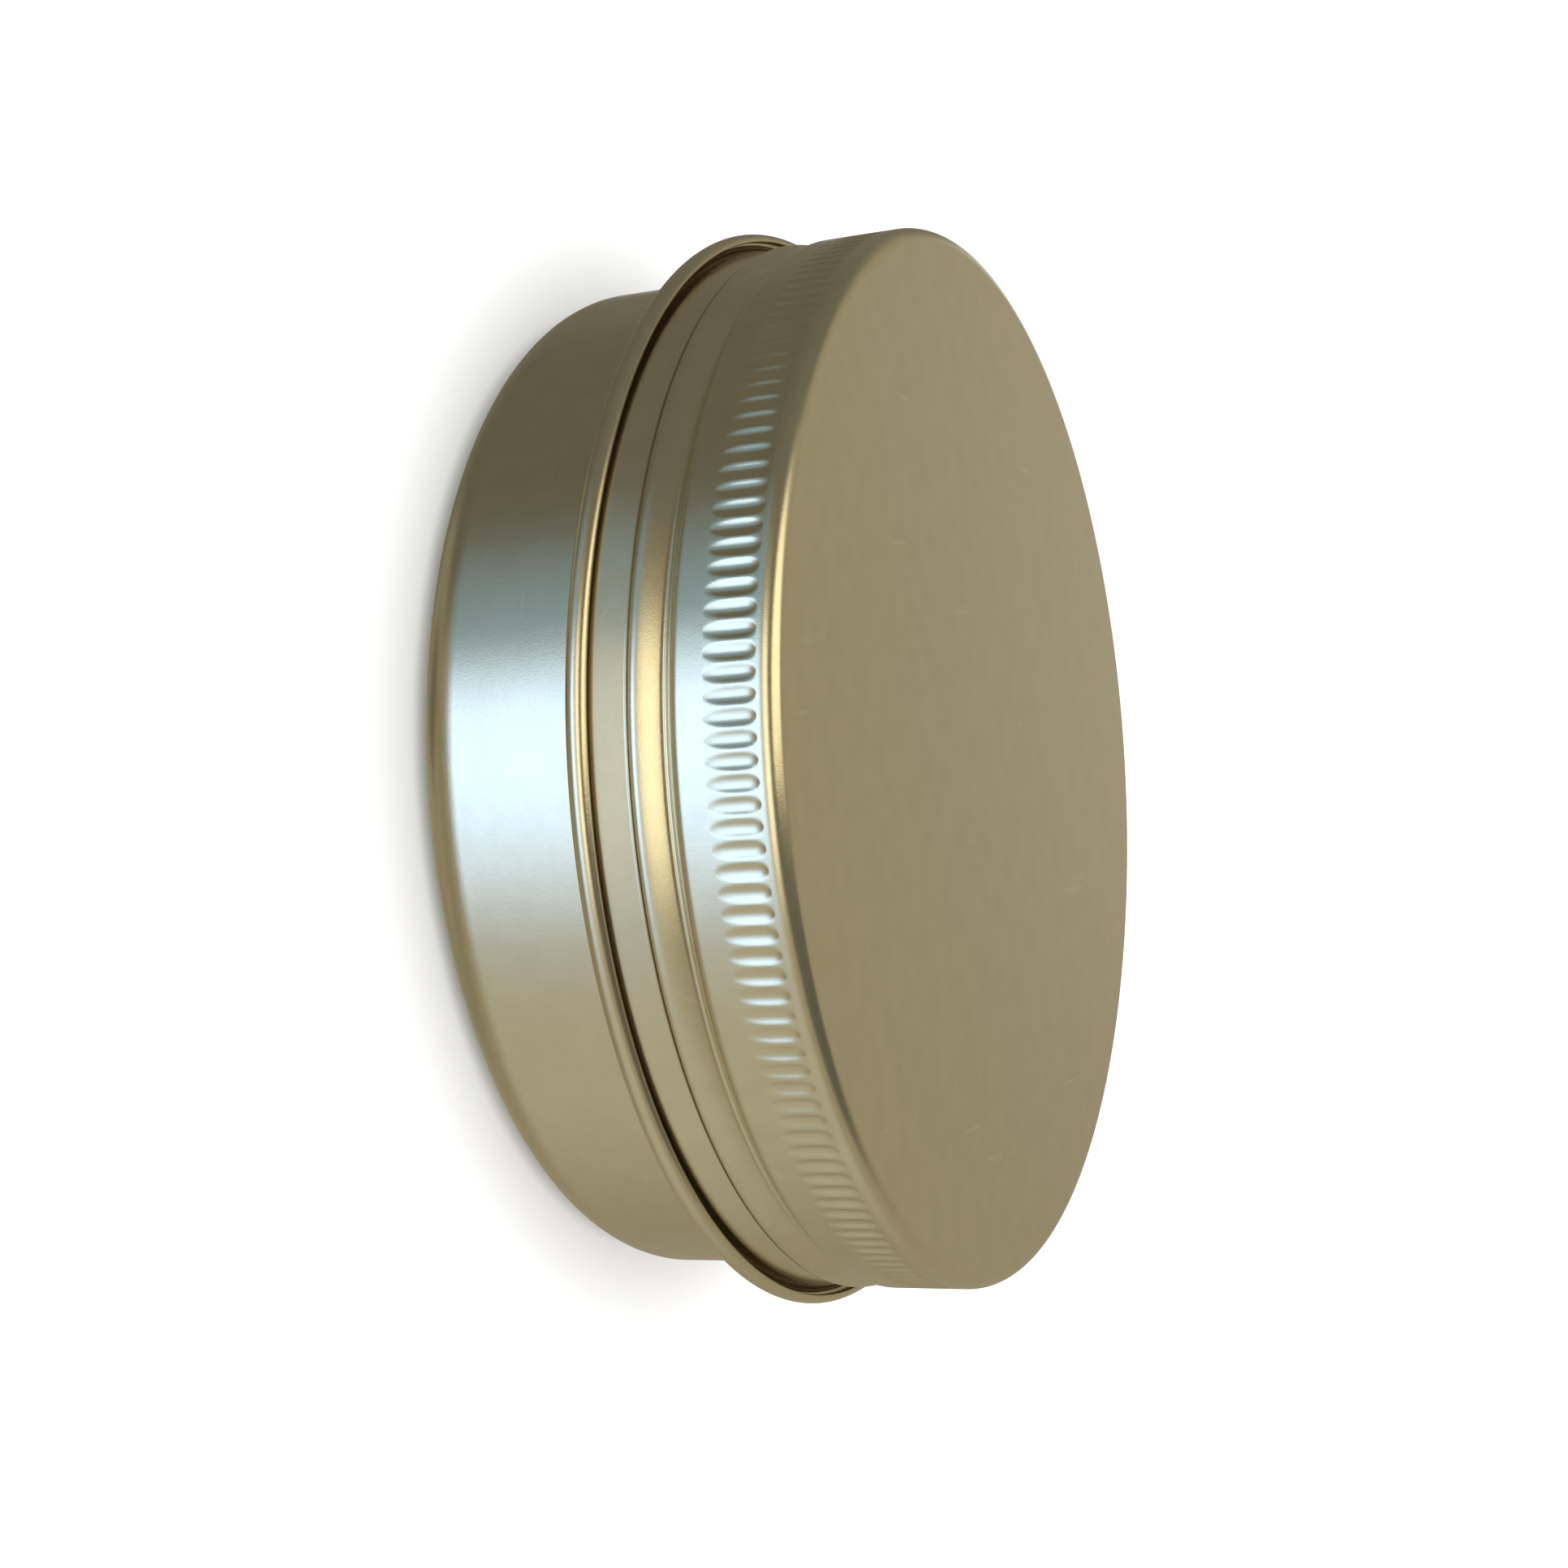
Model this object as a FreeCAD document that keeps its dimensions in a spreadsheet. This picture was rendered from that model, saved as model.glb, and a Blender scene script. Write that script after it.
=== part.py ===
import FreeCAD, Part
import math
import os

import Sketcher

# Screw-top candle tin: drawn body, knurled screw lid and foam liner, in millimetres.
# +Z runs up the axis and the origin is the middle of the foot.

DRIVING = {
    # overall
    "tin_height": 28.0,
    "gauge": 0.4,
    # drawn body
    "body_r": 38.4,
    "base_round": 3.6,
    "recess_r": 31.0,
    "recess_rise": 0.6,
    "recess_slope": 0.8,
    "mouth_top": 26.25,
    "mouth_roll": 0.75,
    # lid wall, from the rolled rim up
    "lid_r": 40.2,
    "rim_roll": 0.85,
    "rim_mid_z": 14.35,
    "rim_end_angle": 85.0,
    "groove_low": 16.95,
    "groove_high": 21.15,
    "groove_depth": 0.5,
    "groove_slope": 0.35,
    "ridge_low": 17.8,
    "ridge_high": 18.3,
    "ridge_slope": 1.3,
    "top_round": 1.25,
    # knurl
    "flute_low": 23.0,
    "flute_high": 26.6,
    "flute_count": 180,
    "flute_r": 0.6,
    "flute_depth": 0.22,
    # screw thread
    "lead": 2.4,
    "bead_foot": 1.0,
    "bead_tip": 0.5,
    "bead_bite": 0.15,
    "body_bead_low": 18.9,
    "body_bead_turns": 1.25,
    "body_bead_tip_r": 39.05,
    "lid_bead_turns": 0.75,
    "lid_bead_tip_r": 38.7,
    # foam liner
    "liner_thick": 1.2,
    "liner_gap": 0.05,
    "liner_bevel": 1.0,
}

START, END, CENTRE = 1, 2, 3
ORIGIN, H_AXIS, V_AXIS = -1, -1, -2

doc = FreeCAD.newDocument("candle_tin")
os.makedirs("parts", exist_ok=True)
sheet = doc.addObject("Spreadsheet::Sheet", "Sizes")


class Size:
    """A number together with the sheet expression that gives it."""

    def __init__(self, value, rule):
        self.value = float(value)
        self.rule = rule

    def __add__(self, other):
        other = as_size(other)
        return Size(self.value + other.value, f"({self.rule} + {other.rule})")

    def __sub__(self, other):
        other = as_size(other)
        return Size(self.value - other.value, f"({self.rule} - {other.rule})")

    def __mul__(self, other):
        other = as_size(other)
        return Size(self.value * other.value, f"{self.rule} * {other.rule}")

    def __truediv__(self, other):
        other = as_size(other)
        return Size(self.value / other.value, f"{self.rule} / {other.rule}")


ZERO = Size(0, "0")


def as_size(thing):
    return thing if isinstance(thing, Size) else Size(thing, str(thing))


def named(name):
    """The driving size under this name."""
    return Size(DRIVING[name], f"Sizes.{name}")


def cosine(angle):
    return Size(math.cos(math.radians(angle.value)), f"cos({angle.rule} * 1 deg)")


def sine(angle):
    return Size(math.sin(math.radians(angle.value)), f"sin({angle.rule} * 1 deg)")


def distance(first, second):
    """The distance between two points given as pairs of sizes."""
    across, up = first[0] - second[0], first[1] - second[1]
    value = math.hypot(across.value, up.value)
    return Size(value, f"sqrt({across.rule} ^ 2 + {up.rule} ^ 2)")


def fill_sheet():
    """Write every driving size into the sheet under its own name."""
    for row, (name, number) in enumerate(DRIVING.items(), start=1):
        sheet.set(f"A{row}", name)
        sheet.set(f"B{row}", str(number))
        sheet.setAlias(f"B{row}", name)
    doc.recompute()


def bind(sketch, rule, size):
    """Add a rule to the sketch and tie its number to the sheet."""
    index = sketch.addConstraint(rule)
    sketch.setExpression(f"Constraints[{index}]", size.rule)


def new_body(label):
    body = doc.addObject("PartDesign::Body", label)
    body.Label = label
    return body


def new_sketch(body, name, role):
    """A sketch on one of the body's own origin planes."""
    sketch = body.newObject("Sketcher::SketchObject", name)
    plane = next(f for f in body.Origin.OriginFeatures if f.Role == role)
    sketch.AttachmentSupport = (plane, [""])
    sketch.MapMode = "FlatFace"
    return sketch


def hold(sketch, geometry, point, spot):
    """Hold a point of the sketch at a pair of sizes, or on an axis for a zero."""
    for kind, size, axis in (("DistanceX", spot[0], V_AXIS), ("DistanceY", spot[1], H_AXIS)):
        if size is ZERO:
            sketch.addConstraint(Sketcher.Constraint("PointOnObject", geometry, point, axis))
        else:
            rule = Sketcher.Constraint(kind, ORIGIN, START, geometry, point, size.value)
            bind(sketch, rule, size)


def draw_arc(sketch, here, there, middle, clockwise):
    """Draw the arc about middle from here to there, and return it with its first and last point."""
    centre = FreeCAD.Vector(middle[0].value, middle[1].value, 0)
    radius = distance(here, middle)
    circle = Part.Circle(centre, FreeCAD.Vector(0, 0, 1), radius.value)
    angles = [circle.parameter(FreeCAD.Vector(r.value, z.value, 0)) for r, z in (here, there)]
    ends = (START, END)
    if clockwise:
        angles.reverse()
        ends = (END, START)
    index = sketch.addGeometry(Part.ArcOfCircle(circle, *angles), False)
    bind(sketch, Sketcher.Constraint("Radius", index, radius.value), radius)
    return (index, *ends)


def draw_line(sketch, here, there):
    """Draw the line from here to there, and return it with its first and last point."""
    ends = [FreeCAD.Vector(r.value, z.value, 0) for r, z in (here, there)]
    return (sketch.addGeometry(Part.LineSegment(*ends), False), START, END)


def outline(sketch, corners):
    """Draw a closed outline.

    Each corner is a pair of sizes, radius and height. A corner with two more items, a
    middle and whether to go clockwise, starts an arc about that middle to the next corner.
    """
    pieces = []
    for place, corner in enumerate(corners):
        here, there = corner[:2], corners[(place + 1) % len(corners)][:2]
        if len(corner) == 2:
            pieces.append(draw_line(sketch, here, there))
        else:
            pieces.append(draw_arc(sketch, here, there, corner[2], corner[3]))
    for place, (index, first, _) in enumerate(pieces):
        before, _, last = pieces[place - 1]
        sketch.addConstraint(Sketcher.Constraint("Coincident", before, last, index, first))
        hold(sketch, index, first, corners[place][:2])


def spin(body, name, corners):
    """Revolve a closed outline once round the axis."""
    sketch = new_sketch(body, f"{name}_outline", "XZ_Plane")
    outline(sketch, corners)
    turn = body.newObject("PartDesign::Revolution", name)
    turn.Profile = sketch
    turn.ReferenceAxis = (sketch, ["V_Axis"])
    turn.Angle = 360
    doc.recompute()


def wind_bead(body, name, low, foot_r, tip_r, turns):
    """Sweep a tapered bead up a right-hand helix round the axis."""
    foot, tip = named("bead_foot"), named("bead_tip")
    sketch = new_sketch(body, f"{name}_outline", "XZ_Plane")
    outline(sketch, [
        (foot_r, low),
        (tip_r, low + (foot - tip) / 2),
        (tip_r, low + (foot + tip) / 2),
        (foot_r, low + foot),
    ])
    bead = body.newObject("PartDesign::AdditiveHelix", name)
    bead.Profile = sketch
    bead.ReferenceAxis = (sketch, ["V_Axis"])
    bead.Mode = "pitch-turns-angle"
    bead.setExpression("Pitch", named("lead").rule)
    bead.setExpression("Turns", turns.rule)
    doc.recompute()


def make_tin_body():
    """One drawn shell: recessed floor, rounded corner, wall, thread and rolled mouth."""
    gauge, out_r = named("gauge"), named("body_r")
    in_r = out_r - gauge
    rounding = named("base_round")
    foot_r = out_r - rounding
    corner_middle = (foot_r, rounding)
    rise, recess_r = named("recess_rise"), named("recess_r")
    recess_out_r = recess_r + named("recess_slope")
    roll = named("mouth_roll")
    roll_middle = (out_r - roll, named("mouth_top") - roll)
    roll_r, roll_z = roll_middle
    body = new_body("tin_body")
    spin(body, "shell", [
        (ZERO, rise),
        (recess_r, rise),
        (recess_out_r, ZERO),
        (foot_r, ZERO, corner_middle, False),
        (out_r, rounding),
        (out_r, roll_z, roll_middle, False),
        (roll_r, roll_z - roll),
        (roll_r, roll_z - roll + gauge, roll_middle, True),
        (in_r, roll_z),
        (in_r, rounding, corner_middle, True),
        (foot_r, gauge),
        (recess_out_r, gauge),
        (recess_r, rise + gauge),
        (ZERO, rise + gauge),
    ])
    wind_bead(
        body,
        "outer_thread",
        low=named("body_bead_low"),
        foot_r=out_r - named("bead_bite"),
        tip_r=named("body_bead_tip_r"),
        turns=named("body_bead_turns"),
    )
    return body


def cut_knurl(body):
    """Cut the ring of short upright flutes below the lid's rounded edge."""
    low, flute_r = named("flute_low"), named("flute_r")
    middle_r = named("lid_r") + flute_r - named("flute_depth")
    sketch = new_sketch(body, "flute_outline", "XY_Plane")
    sketch.setExpression("AttachmentOffset.Base.z", low.rule)
    centre = FreeCAD.Vector(middle_r.value, 0, 0)
    ring = Part.Circle(centre, FreeCAD.Vector(0, 0, 1), flute_r.value)
    index = sketch.addGeometry(ring, False)
    bind(sketch, Sketcher.Constraint("Radius", index, flute_r.value), flute_r)
    hold(sketch, index, CENTRE, (middle_r, ZERO))
    doc.recompute()
    before = body.Shape.Volume
    flute = body.newObject("PartDesign::Pocket", "flute")
    flute.Profile = sketch
    flute.Type = "Length"
    flute.setExpression("Length", (named("flute_high") - low).rule)
    flute.Reversed = True
    doc.recompute()
    if not body.Shape.Volume < before:
        raise RuntimeError("the flute took nothing off the lid")
    knurl = body.newObject("PartDesign::PolarPattern", "knurl")
    knurl.Originals = [flute]
    knurl.Axis = (sketch, ["N_Axis"])
    knurl.Angle = 360
    knurl.setExpression("Occurrences", named("flute_count").rule)
    body.Tip = knurl
    doc.recompute()


def make_screw_lid():
    """One drawn shell: rolled rim, plain band, groove with a ridge, knurled band, flat top."""
    gauge, out_r, top = named("gauge"), named("lid_r"), named("tin_height")
    in_r = out_r - gauge
    roll, roll_z = named("rim_roll"), named("rim_mid_z")
    roll_middle = (in_r + roll, roll_z)
    roll_end = named("rim_end_angle")
    lip_out = (roll_middle[0] + roll * cosine(roll_end), roll_z + roll * sine(roll_end))
    core = roll - gauge
    lip_in = (roll_middle[0] + core * cosine(roll_end), roll_z + core * sine(roll_end))
    groove_r = out_r - named("groove_depth")
    low, high, slope = named("groove_low"), named("groove_high"), named("groove_slope")
    ridge_low, ridge_high = named("ridge_low"), named("ridge_high")
    rounding = named("top_round")
    edge_middle = (out_r - rounding, top - rounding)
    flat_r, edge_z = edge_middle
    body = new_body("screw_lid")
    spin(body, "lid_shell", [
        (*lip_out, roll_middle, True),
        (in_r, roll_z),
        (in_r, low),
        (groove_r - gauge, low + slope),
        (groove_r - gauge, high - slope),
        (in_r, high),
        (in_r, edge_z, edge_middle, False),
        (flat_r, top - gauge),
        (ZERO, top - gauge),
        (ZERO, top),
        (flat_r, top, edge_middle, True),
        (out_r, edge_z),
        (out_r, high),
        (groove_r, high - slope),
        (groove_r, ridge_high + named("ridge_slope")),
        (out_r, ridge_high),
        (out_r, ridge_low),
        (groove_r, low + slope),
        (out_r, low),
        (out_r, roll_z, roll_middle, False),
        lip_in,
    ])
    wind_bead(
        body,
        "inner_thread",
        low=named("body_bead_low") - named("lead") / 2,
        foot_r=groove_r - gauge + named("bead_bite"),
        tip_r=named("lid_bead_tip_r"),
        turns=named("lid_bead_turns"),
    )
    cut_knurl(body)
    return body


def make_foam_liner():
    """The sealing disc that lies against the inside of the lid's top."""
    gauge, gap, bevel = named("gauge"), named("liner_gap"), named("liner_bevel")
    out_r = named("lid_r") - gauge - gap
    top = named("tin_height") - gauge - gap
    under = top - named("liner_thick")
    body = new_body("foam_liner")
    spin(body, "disc", [
        (ZERO, under),
        (out_r, under),
        (out_r, top - bevel),
        (out_r - bevel, top),
        (ZERO, top),
    ])
    return body


def check(body):
    """Stop if the body or one of its features came out wrong."""
    for item in [body, *body.Group]:
        if "Invalid" in item.State or "Error" in item.State:
            raise RuntimeError(f"{item.Name}: {item.State}")
    if body.Shape.isNull() or not body.Shape.isValid() or len(body.Shape.Solids) != 1:
        raise RuntimeError(f"{body.Name} isn't one sound solid")


fill_sheet()
pieces = [make_tin_body(), make_screw_lid(), make_foam_liner()]
for piece in pieces:
    piece.Placement = FreeCAD.Placement(FreeCAD.Vector(0, 0, 0), FreeCAD.Rotation())
doc.recompute()
for piece in pieces:
    check(piece)
    piece.Shape.exportStep(f"parts/{piece.Name}.step")
    print(piece.Label, round(piece.Shape.Volume, 1), len(piece.Shape.Faces))
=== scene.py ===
import logging
import math
from dataclasses import dataclass, field
from enum import Enum

import bpy
from mathutils import Matrix, Vector


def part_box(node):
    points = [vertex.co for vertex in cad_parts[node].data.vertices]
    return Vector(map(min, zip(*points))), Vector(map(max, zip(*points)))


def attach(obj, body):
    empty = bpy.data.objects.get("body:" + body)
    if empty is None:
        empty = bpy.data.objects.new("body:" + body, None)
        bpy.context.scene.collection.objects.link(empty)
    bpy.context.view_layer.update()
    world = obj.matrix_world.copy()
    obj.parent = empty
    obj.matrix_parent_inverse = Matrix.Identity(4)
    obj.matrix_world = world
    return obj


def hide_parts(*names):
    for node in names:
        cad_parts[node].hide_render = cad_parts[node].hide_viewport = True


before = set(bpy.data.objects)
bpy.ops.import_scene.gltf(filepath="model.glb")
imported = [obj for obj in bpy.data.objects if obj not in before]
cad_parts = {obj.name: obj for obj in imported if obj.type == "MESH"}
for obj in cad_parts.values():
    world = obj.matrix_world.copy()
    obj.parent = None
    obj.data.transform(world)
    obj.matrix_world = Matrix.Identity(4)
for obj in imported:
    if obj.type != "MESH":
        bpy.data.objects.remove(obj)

logging.basicConfig(level=logging.INFO, format="%(message)s")
log = logging.getLogger("candle_tin")

MM = 0.001
CROWDING = 0.6
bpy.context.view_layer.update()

Point = tuple[float, float]
Colour = tuple[float, float, float, float]


class Node(Enum):
    """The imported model's nodes that the visual pieces stand for."""

    BODY = "tin_body"
    LID = "screw_lid"
    LINER = "foam_liner"


class Rider(Enum):
    """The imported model's moving bodies."""

    TIN = "tin"
    LINER = "liner"
    LID = "lid"


class Grade(Enum):
    """How many columns a ring of a turned shell is divided into."""

    PLAIN = 320
    KNURLED = 2880


class Wave(Enum):
    """Which way a rolled thread pushes the sheet."""

    OUTWARD = 1.0
    INWARD = -1.0


def node_radius(node: Node) -> float:
    """Outer radius of a CAD node at rest, in millimetres."""
    low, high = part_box(node.value)
    return (high[0] - low[0]) / 2 / MM


def node_low(node: Node) -> float:
    """Lowest height of a CAD node at rest, in millimetres."""
    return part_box(node.value)[0][2] / MM


def node_high(node: Node) -> float:
    """Highest point of a CAD node at rest, in millimetres."""
    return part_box(node.value)[1][2] / MM


# --------------------------------------------------------------------------------------
# Section lines: the half section of a turned shell, as points (radius, height) in mm


def on_arc(middle: Point, radius: float, angle: float) -> Point:
    """The point of an arc at an angle in degrees from straight outwards."""
    turn = math.radians(angle)
    return middle[0] + radius * math.cos(turn), middle[1] + radius * math.sin(turn)


@dataclass
class Section:
    """A half section drawn from the axis round the sheet and back to the axis."""

    points: list[Point] = field(default_factory=list)
    grades: list[Grade] = field(default_factory=list)
    lead_in: float = 0.06
    same_spot: float = 0.0005

    def add(self, point: Point, grade: Grade = Grade.PLAIN) -> None:
        """Append one point, unless the line is there already, with its ring's columns."""
        if self.points and math.dist(point, self.points[-1]) < self.same_spot:
            return
        self.points.append(point)
        self.grades.append(grade)

    def go(self, point: Point, step: float = 0.0, grade: Grade = Grade.PLAIN) -> None:
        """Draw a straight run to a point, with a short lead-in at each end.

        Args:
            point: End of the run.
            step: Largest spacing of the points between the lead-ins, or 0 for none.
            grade: Columns of every ring on the run.
        """
        start = self.points[-1]
        across, up = point[0] - start[0], point[1] - start[1]
        length = math.hypot(across, up)
        if length < 4 * self.lead_in:
            self.add(point, grade)
            return
        count = max(1, round((length - 2 * self.lead_in) / step)) if step else 1
        marks = [self.lead_in + (length - 2 * self.lead_in) * i / count for i in range(count + 1)]
        for mark in marks:
            share = mark / length
            self.add((start[0] + across * share, start[1] + up * share), grade)
        self.add(point, grade)

    def bend(self, middle: Point, radius: float, start: float, end: float, pieces: int) -> None:
        """Draw an arc.

        Args:
            middle: Middle of the arc.
            radius: Radius of the arc.
            start: Angle of the first point, in degrees from straight outwards.
            end: Angle of the last point, in degrees.
            pieces: Number of straight pieces that make the arc.
        """
        for i in range(pieces + 1):
            self.add(on_arc(middle, radius, start + (end - start) * i / pieces))

    def corner(self, point: Point, after: Point, radius: float, step: float = 0.0) -> None:
        """Run towards a corner and round it off on the way to the next point.

        Args:
            point: The sharp corner.
            after: The point the line goes on to.
            radius: Radius of the rounding.
            step: Largest spacing of points on the run before it, or 0 for none.
        """
        before = self.points[-1]
        to_before = Vector((before[0] - point[0], before[1] - point[1])).normalized()
        to_after = Vector((after[0] - point[0], after[1] - point[1])).normalized()
        half = to_before.angle(to_after) / 2
        cut = radius / math.tan(half)
        corner = Vector(point)
        middle = corner + (to_before + to_after).normalized() * (radius / math.sin(half))
        first, last = corner + to_before * cut, corner + to_after * cut
        self.go((first.x, first.y), step)
        start = math.degrees(math.atan2(first.y - middle.y, first.x - middle.x))
        sweep = math.degrees(math.atan2(last.y - middle.y, last.x - middle.x)) - start
        sweep = (sweep + 180) % 360 - 180
        pieces = max(2, round(abs(sweep) / 15))
        self.bend((middle.x, middle.y), radius, start, start + sweep, pieces)


def column_angle(column: int, grade: Grade, flutes: int, crowding: float) -> float:
    """Angle of one column of a ring, in radians.

    A knurled ring has its columns crowded into the middle of each flute.

    Args:
        column: Number of the column.
        grade: The ring's grade.
        flutes: Number of flutes round the ring, or 0 for none.
        crowding: How strongly the columns are crowded, from 0 to under 1.

    Returns:
        The angle from +X.
    """
    share = column / grade.value
    if grade is Grade.KNURLED and flutes:
        share += crowding * math.sin(2 * math.pi * flutes * share) / (2 * math.pi * flutes)
    return 2 * math.pi * share


def turned_mesh(name: str, section: Section, flutes: int = 0) -> bpy.types.Mesh:
    """Turn a half section into a closed mesh round the axis.

    Args:
        name: Name of the mesh.
        section: Half section whose first and last points lie on the axis.
        flutes: Number of flutes that the knurled rings will carry.

    Returns:
        A mesh in metres, with one vertex at each pole and outward faces.
    """
    verts: list[tuple[float, float, float]] = []
    rings: list[list[int]] = []
    last = len(section.points) - 1
    for place, ((radius, height), grade) in enumerate(zip(section.points, section.grades)):
        columns = 1 if place in (0, last) else grade.value
        first = len(verts)
        for i in range(columns):
            angle = column_angle(i, grade, flutes, CROWDING)
            spot = (radius * math.cos(angle), radius * math.sin(angle), height)
            verts.append(tuple(MM * value for value in spot))
        rings.append(list(range(first, first + columns)))
    faces = [face for upper, lower in zip(rings, rings[1:]) for face in band(upper, lower)]
    mesh = bpy.data.meshes.new(name)
    mesh.from_pydata(verts, [], faces)
    mesh.shade_smooth()
    mesh.validate()
    return mesh


def band(upper: list[int], lower: list[int]) -> list[list[int]]:
    """Join two rings with faces, also where one ring has more columns.

    Args:
        upper: Vertex numbers of the ring that comes first along the section.
        lower: Vertex numbers of the next ring.

    Returns:
        One face for each column of the coarser ring.
    """
    if len(upper) == 1:
        return [[upper[0], lower[i], lower[(i + 1) % len(lower)]] for i in range(len(lower))]
    if len(lower) == 1:
        return [[upper[i], lower[0], upper[(i + 1) % len(upper)]] for i in range(len(upper))]
    columns = min(len(upper), len(lower))
    up_step, low_step = len(upper) // columns, len(lower) // columns
    faces = []
    for i in range(columns):
        up_run = [upper[(i * up_step + k) % len(upper)] for k in range(up_step + 1)]
        low_run = [lower[(i * low_step + k) % len(lower)] for k in range(low_step + 1)]
        faces.append(low_run + up_run[::-1])
    return faces


# --------------------------------------------------------------------------------------
# Node trees


class Board:
    """A short way to lay out the maths nodes of one geometry or shader tree."""

    def __init__(self, tree: bpy.types.NodeTree) -> None:
        """Start on an empty tree."""
        self.tree = tree

    def node(self, kind: str, **settings: object) -> bpy.types.Node:
        """Add a node and set its properties.

        Args:
            kind: Blender's identifier of the node.
            **settings: Property names and their values.

        Returns:
            The new node.
        """
        node = self.tree.nodes.new(kind)
        for name, value in settings.items():
            setattr(node, name, value)
        return node

    def feed(self, socket: bpy.types.NodeSocket, value: object) -> None:
        """Link a socket to another one, or set its plain value."""
        if isinstance(value, bpy.types.NodeSocket):
            self.tree.links.new(value, socket)
        else:
            socket.default_value = value

    def maths(self, operation: str, *values: object, clamp: bool = False) -> bpy.types.NodeSocket:
        """Add one maths node.

        Args:
            operation: Blender's name of the operation.
            *values: Numbers or sockets, in order.
            clamp: Whether to keep the result between 0 and 1.

        Returns:
            The socket with the result.
        """
        node = self.node("ShaderNodeMath", operation=operation, use_clamp=clamp)
        for socket, value in zip(node.inputs, values):
            self.feed(socket, value)
        return node.outputs[0]

    def fade(self, value: object, low: object, high: object) -> bpy.types.NodeSocket:
        """A smooth step from 0 at low to 1 at high; low may lie above high."""
        node = self.node("ShaderNodeMapRange", interpolation_type="SMOOTHSTEP")
        for socket, number in zip(node.inputs, (value, low, high, 0.0, 1.0)):
            self.feed(socket, number)
        return node.outputs[0]

    def split(self, vector: bpy.types.NodeSocket) -> list[bpy.types.NodeSocket]:
        """The three parts of a vector."""
        node = self.node("ShaderNodeSeparateXYZ")
        self.feed(node.inputs[0], vector)
        return list(node.outputs)

    def join(self, *values: object) -> bpy.types.NodeSocket:
        """A vector from three parts."""
        node = self.node("ShaderNodeCombineXYZ")
        for socket, value in zip(node.inputs, values):
            self.feed(socket, value)
        return node.outputs[0]

    def mix(self, share: object, first: object, second: object) -> bpy.types.NodeSocket:
        """Two colours mixed by a share from 0 to 1."""
        node = self.node("ShaderNodeMix", data_type="RGBA")
        colour_inputs = [socket for socket in node.inputs if socket.type == "RGBA"]
        self.feed(node.inputs[0], share)
        self.feed(colour_inputs[0], first)
        self.feed(colour_inputs[1], second)
        return next(socket for socket in node.outputs if socket.type == "RGBA")

    def turn_share(self, x: object, y: object) -> bpy.types.NodeSocket:
        """The angle round the axis as a share of a turn, from 0 to 1."""
        angle = self.maths("ARCTAN2", y, x)
        return self.maths("FRACT", self.maths("DIVIDE", angle, 2 * math.pi))


class SheetTree:
    """A geometry tree that presses a pattern into a turned sheet."""

    def __init__(self, name: str, sizes: dict[str, float]) -> None:
        """Make the tree with one named input for each size.

        Args:
            name: Name of the tree.
            sizes: Input names and their values, lengths in metres.
        """
        self.sizes = sizes
        self.tree = bpy.data.node_groups.new(name, "GeometryNodeTree")
        face = self.tree.interface
        face.new_socket("Geometry", in_out="INPUT", socket_type="NodeSocketGeometry")
        for size in sizes:
            face.new_socket(size, in_out="INPUT", socket_type="NodeSocketFloat")
        face.new_socket("Material", in_out="INPUT", socket_type="NodeSocketMaterial")
        face.new_socket("Geometry", in_out="OUTPUT", socket_type="NodeSocketGeometry")
        self.board = Board(self.tree)
        self.entry = self.board.node("NodeGroupInput")
        place = self.board.node("GeometryNodeInputPosition")
        self.x, self.y, self.z = self.board.split(place.outputs[0])
        across = self.board.maths("MULTIPLY", self.x, self.x)
        deep = self.board.maths("MULTIPLY", self.y, self.y)
        self.radius = self.board.maths("SQRT", self.board.maths("ADD", across, deep))

    def size(self, name: str) -> bpy.types.NodeSocket:
        """The input socket of one named size."""
        return self.entry.outputs[name]

    def press(self, push: bpy.types.NodeSocket) -> None:
        """Move every point outwards by push, then realise and dress the mesh."""
        board = self.board
        scale = board.maths("DIVIDE", push, board.maths("MAXIMUM", self.radius, MM))
        offset = board.join(
            board.maths("MULTIPLY", self.x, scale),
            board.maths("MULTIPLY", self.y, scale),
            0.0,
        )
        move = board.node("GeometryNodeSetPosition")
        board.feed(move.inputs["Geometry"], self.entry.outputs["Geometry"])
        board.feed(move.inputs["Offset"], offset)
        realise = board.node("GeometryNodeRealizeInstances")
        board.feed(realise.inputs[0], move.outputs[0])
        dress = board.node("GeometryNodeSetMaterial")
        board.feed(dress.inputs["Geometry"], realise.outputs[0])
        board.feed(dress.inputs["Material"], self.entry.outputs["Material"])
        leave = board.node("NodeGroupOutput")
        board.feed(leave.inputs[0], dress.outputs[0])

    def apply(self, piece: bpy.types.Object, material: bpy.types.Material) -> None:
        """Run the tree on a piece and keep the result as its plain mesh.

        Args:
            piece: The piece to press.
            material: The material that the tree sets.
        """
        modifier = piece.modifiers.new(self.tree.name, "NODES")
        modifier.node_group = self.tree
        inputs = [item for item in self.tree.interface.items_tree if item.in_out == "INPUT"]
        for item in inputs:
            if item.name in self.sizes:
                modifier[item.identifier] = self.sizes[item.name]
            elif item.name == "Material":
                modifier[item.identifier] = material
        graph = bpy.context.evaluated_depsgraph_get()
        result = bpy.data.meshes.new_from_object(piece.evaluated_get(graph))
        piece.modifiers.remove(modifier)
        piece.data = result


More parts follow.
